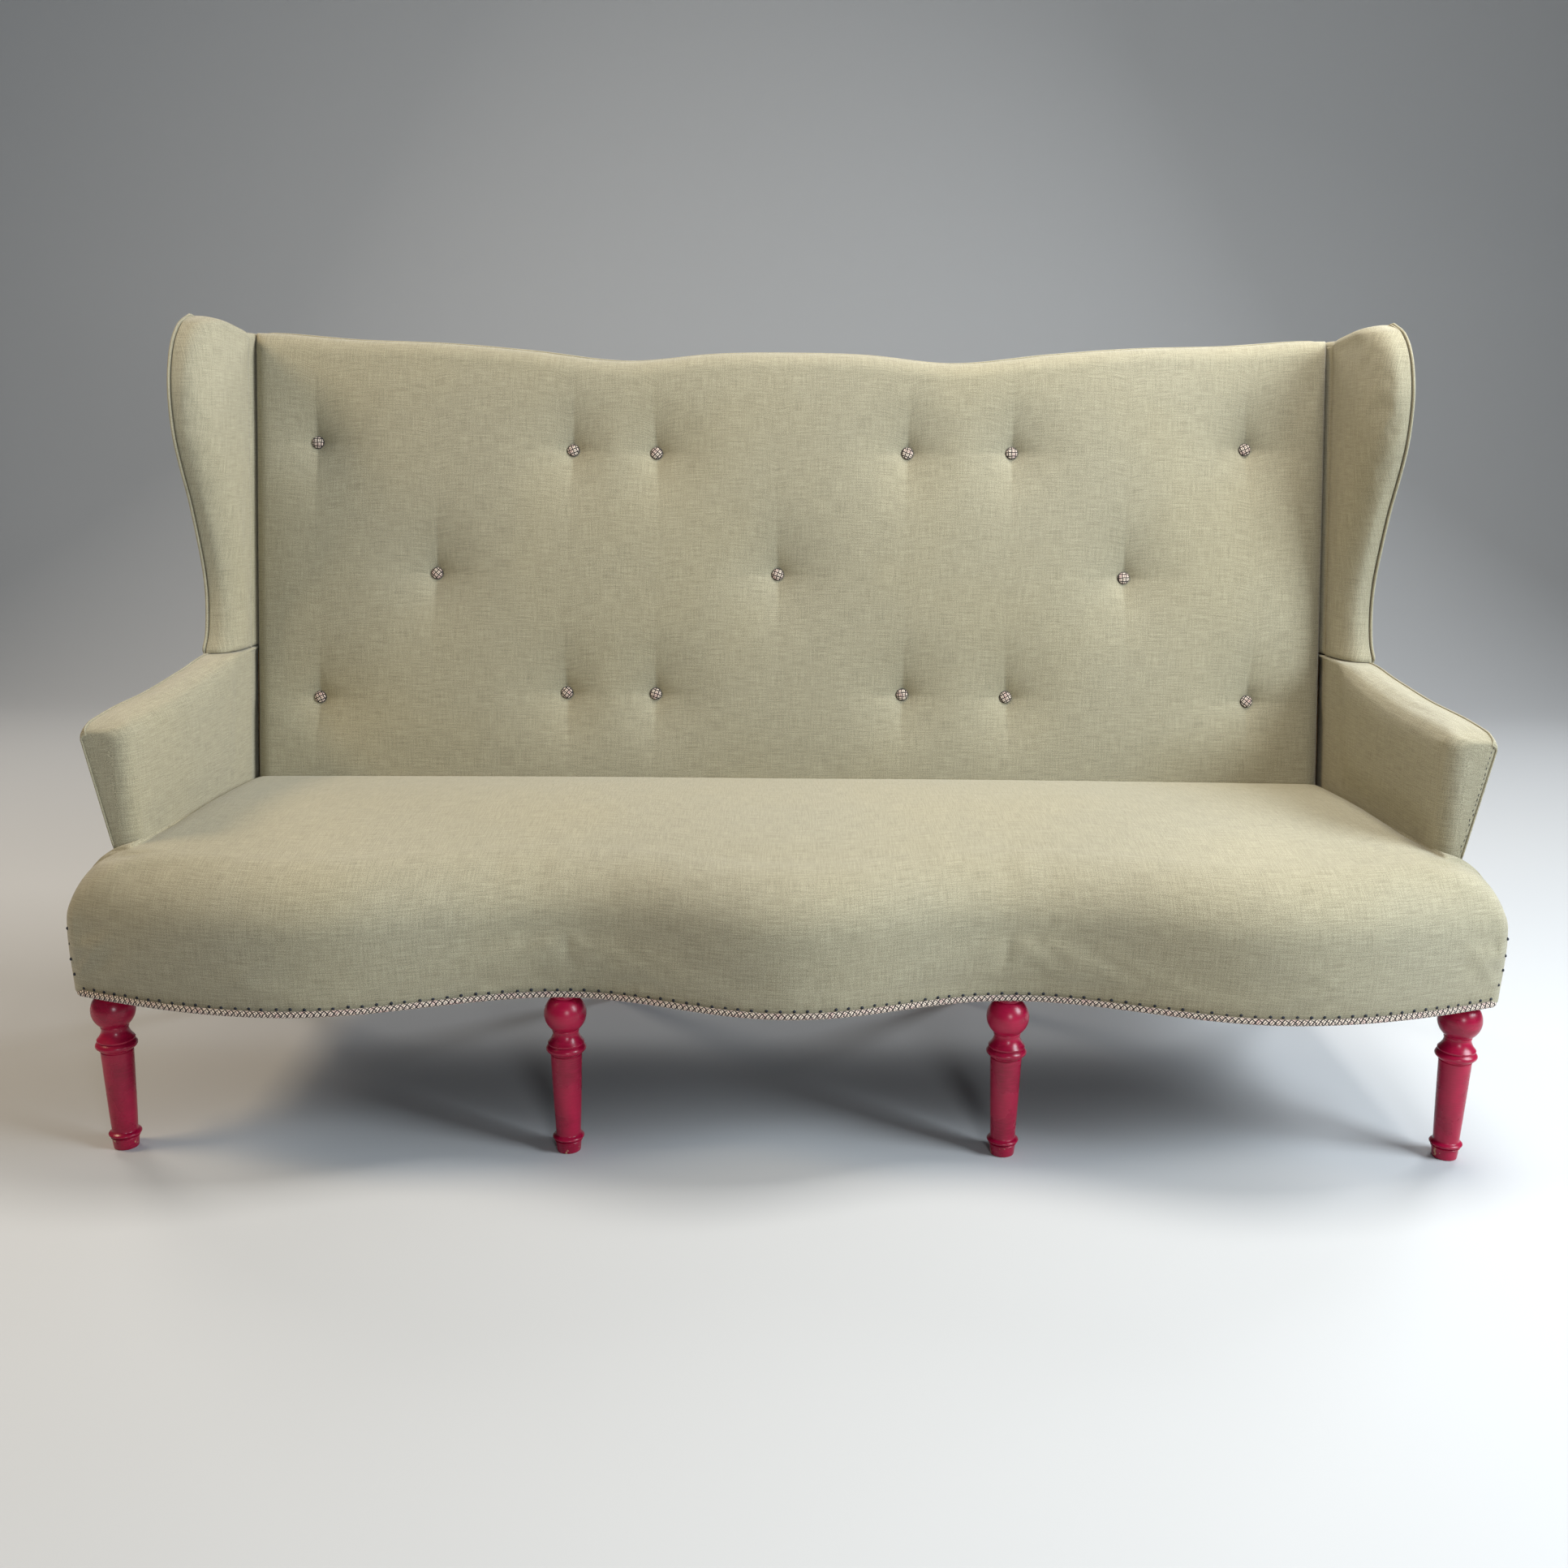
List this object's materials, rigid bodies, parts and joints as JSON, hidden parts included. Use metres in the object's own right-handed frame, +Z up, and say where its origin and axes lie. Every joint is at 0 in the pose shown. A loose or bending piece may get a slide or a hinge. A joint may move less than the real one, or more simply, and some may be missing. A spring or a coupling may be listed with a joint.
{
  "type": "high back settee",
  "caption": "High back settee with side wings, splayed low arms, a button-tufted back, a serpentine seat front edged in piping, and turned front legs",
  "frame": {"origin": "on the floor under the middle of the settee's bounding box", "axes": "+Z up, +X towards the end at the right of a viewer facing the settee, the sitter faces -Y"},
  "size_m": [2.0404, 0.8512, 1.208],
  "materials": {
    "crimson_paint": "turned wood under crimson paint, worn and satin",
    "frame_wood": "planed beech, bare",
    "jute_webbing": "woven jute straps",
    "linen": "plain woven linen, dull greige",
    "dust_cloth": "thin black cambric",
    "check_cloth": "small woven check of cream, pink and black"
  },
  "bodies": {
    "root": {"front_leg_outer_left": "crimson_paint", "front_leg_inner_left": "crimson_paint", "front_leg_inner_right": "crimson_paint", "front_leg_outer_right": "crimson_paint", "rear_leg_outer_left": "crimson_paint", "rear_leg_inner_left": "crimson_paint", "rear_leg_inner_right": "crimson_paint", "rear_leg_outer_right": "crimson_paint", "front_rail": "frame_wood", "back_rail": "frame_wood", "side_rail_left": "frame_wood", "side_rail_right": "frame_wood", "cross_rail_left": "frame_wood", "cross_rail_right": "frame_wood", "corner_block_left": "frame_wood", "corner_block_right": "frame_wood", "back_post_left": "frame_wood", "back_post_right": "frame_wood", "back_upright_left": "frame_wood", "back_upright_right": "frame_wood", "stuffing_rail": "frame_wood", "crest_rail": "frame_wood", "arm_post_left": "frame_wood", "arm_post_right": "frame_wood", "arm_rail_left": "frame_wood", "arm_rail_right": "frame_wood", "wing_board_left": "frame_wood", "wing_board_right": "frame_wood", "seat_webbing": "jute_webbing", "back_webbing": "jute_webbing", "seat_pad": "linen", "back_pad": "linen", "arm_pad_left": "linen", "arm_pad_right": "linen", "wing_pad_left": "linen", "wing_pad_right": "linen", "outside_back_cover": "linen", "outside_arm_cover_left": "linen", "outside_arm_cover_right": "linen", "outside_wing_cover_left": "linen", "outside_wing_cover_right": "linen", "dust_cover": "dust_cloth", "seat_piping": "check_cloth", "button_top_1": "check_cloth", "button_top_2": "check_cloth", "button_top_3": "check_cloth", "button_top_4": "check_cloth", "button_top_5": "check_cloth", "button_top_6": "check_cloth", "button_middle_1": "check_cloth", "button_middle_2": "check_cloth", "button_middle_3": "check_cloth", "button_bottom_1": "check_cloth", "button_bottom_2": "check_cloth", "button_bottom_3": "check_cloth", "button_bottom_4": "check_cloth", "button_bottom_5": "check_cloth", "button_bottom_6": "check_cloth"}
  },
  "joints": []
}
